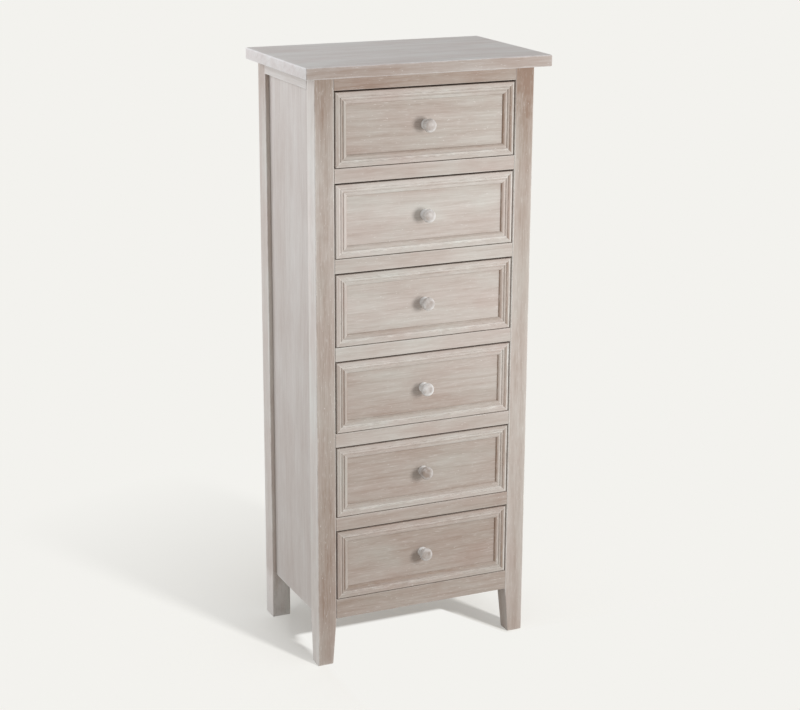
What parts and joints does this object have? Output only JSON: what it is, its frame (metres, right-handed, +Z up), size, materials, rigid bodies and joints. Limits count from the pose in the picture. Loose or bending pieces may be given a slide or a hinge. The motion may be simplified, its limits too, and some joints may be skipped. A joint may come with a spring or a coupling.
{
  "type": "chest of drawers",
  "caption": "Tall narrow chiffonier with inset moulded drawers, turned wooden knobs, square posts running down into tapered feet, and an overhanging top.",
  "frame": {"origin": "on the floor, under the middle of the chest's outer box", "axes": "+Z up, -Y to the front where the drawers open, +X to the right as seen from the front"},
  "size_m": [0.5, 0.322, 1.185],
  "materials": {
    "washed_wood": "pale washed taupe, matt",
    "washed_front": "pale washed taupe, matt",
    "washed_knob": "silver-white wash, satin",
    "bare_wood": "bare sanded wood",
    "thin_ply": "bare thin plywood"
  },
  "bodies": {
    "carcass": {"top_board": "washed_wood", "post_front_left": "washed_wood", "post_front_right": "washed_wood", "post_rear_left": "washed_wood", "post_rear_right": "washed_wood", "side_panel_left": "washed_wood", "side_panel_right": "washed_wood", "side_top_rail_left": "washed_wood", "side_top_rail_right": "washed_wood", "front_top_rail": "washed_wood", "divider_rail_1": "washed_wood", "divider_rail_2": "washed_wood", "divider_rail_3": "washed_wood", "divider_rail_4": "washed_wood", "divider_rail_5": "washed_wood", "front_bottom_rail": "washed_wood", "rear_bottom_rail": "washed_wood", "back_panel": "thin_ply", "runner_frame_1": "bare_wood", "runner_frame_2": "bare_wood", "runner_frame_3": "bare_wood", "runner_frame_4": "bare_wood", "runner_frame_5": "bare_wood", "runner_frame_6": "bare_wood"},
    "drawer_1": {"drawer_1_front": "washed_front", "drawer_1_side_left": "bare_wood", "drawer_1_side_right": "bare_wood", "drawer_1_back": "bare_wood", "drawer_1_bottom": "thin_ply", "drawer_1_knob": "washed_knob"},
    "drawer_2": {"drawer_2_front": "washed_front", "drawer_2_side_left": "bare_wood", "drawer_2_side_right": "bare_wood", "drawer_2_back": "bare_wood", "drawer_2_bottom": "thin_ply", "drawer_2_knob": "washed_knob"},
    "drawer_3": {"drawer_3_front": "washed_front", "drawer_3_side_left": "bare_wood", "drawer_3_side_right": "bare_wood", "drawer_3_back": "bare_wood", "drawer_3_bottom": "thin_ply", "drawer_3_knob": "washed_knob"},
    "drawer_4": {"drawer_4_front": "washed_front", "drawer_4_side_left": "bare_wood", "drawer_4_side_right": "bare_wood", "drawer_4_back": "bare_wood", "drawer_4_bottom": "thin_ply", "drawer_4_knob": "washed_knob"},
    "drawer_5": {"drawer_5_front": "washed_front", "drawer_5_side_left": "bare_wood", "drawer_5_side_right": "bare_wood", "drawer_5_back": "bare_wood", "drawer_5_bottom": "thin_ply", "drawer_5_knob": "washed_knob"},
    "drawer_6": {"drawer_6_front": "washed_front", "drawer_6_side_left": "bare_wood", "drawer_6_side_right": "bare_wood", "drawer_6_back": "bare_wood", "drawer_6_bottom": "thin_ply", "drawer_6_knob": "washed_knob"}
  },
  "joints": [
    {"name": "drawer_1_slide", "type": "slide", "parent": "carcass", "child": "drawer_1", "axis": [0, -1, 0], "range_m": [0, 0.245]},
    {"name": "drawer_2_slide", "type": "slide", "parent": "carcass", "child": "drawer_2", "axis": [0, -1, 0], "range_m": [0, 0.245]},
    {"name": "drawer_3_slide", "type": "slide", "parent": "carcass", "child": "drawer_3", "axis": [0, -1, 0], "range_m": [0, 0.245]},
    {"name": "drawer_4_slide", "type": "slide", "parent": "carcass", "child": "drawer_4", "axis": [0, -1, 0], "range_m": [0, 0.245]},
    {"name": "drawer_5_slide", "type": "slide", "parent": "carcass", "child": "drawer_5", "axis": [0, -1, 0], "range_m": [0, 0.245]},
    {"name": "drawer_6_slide", "type": "slide", "parent": "carcass", "child": "drawer_6", "axis": [0, -1, 0], "range_m": [0, 0.245]}
  ]
}
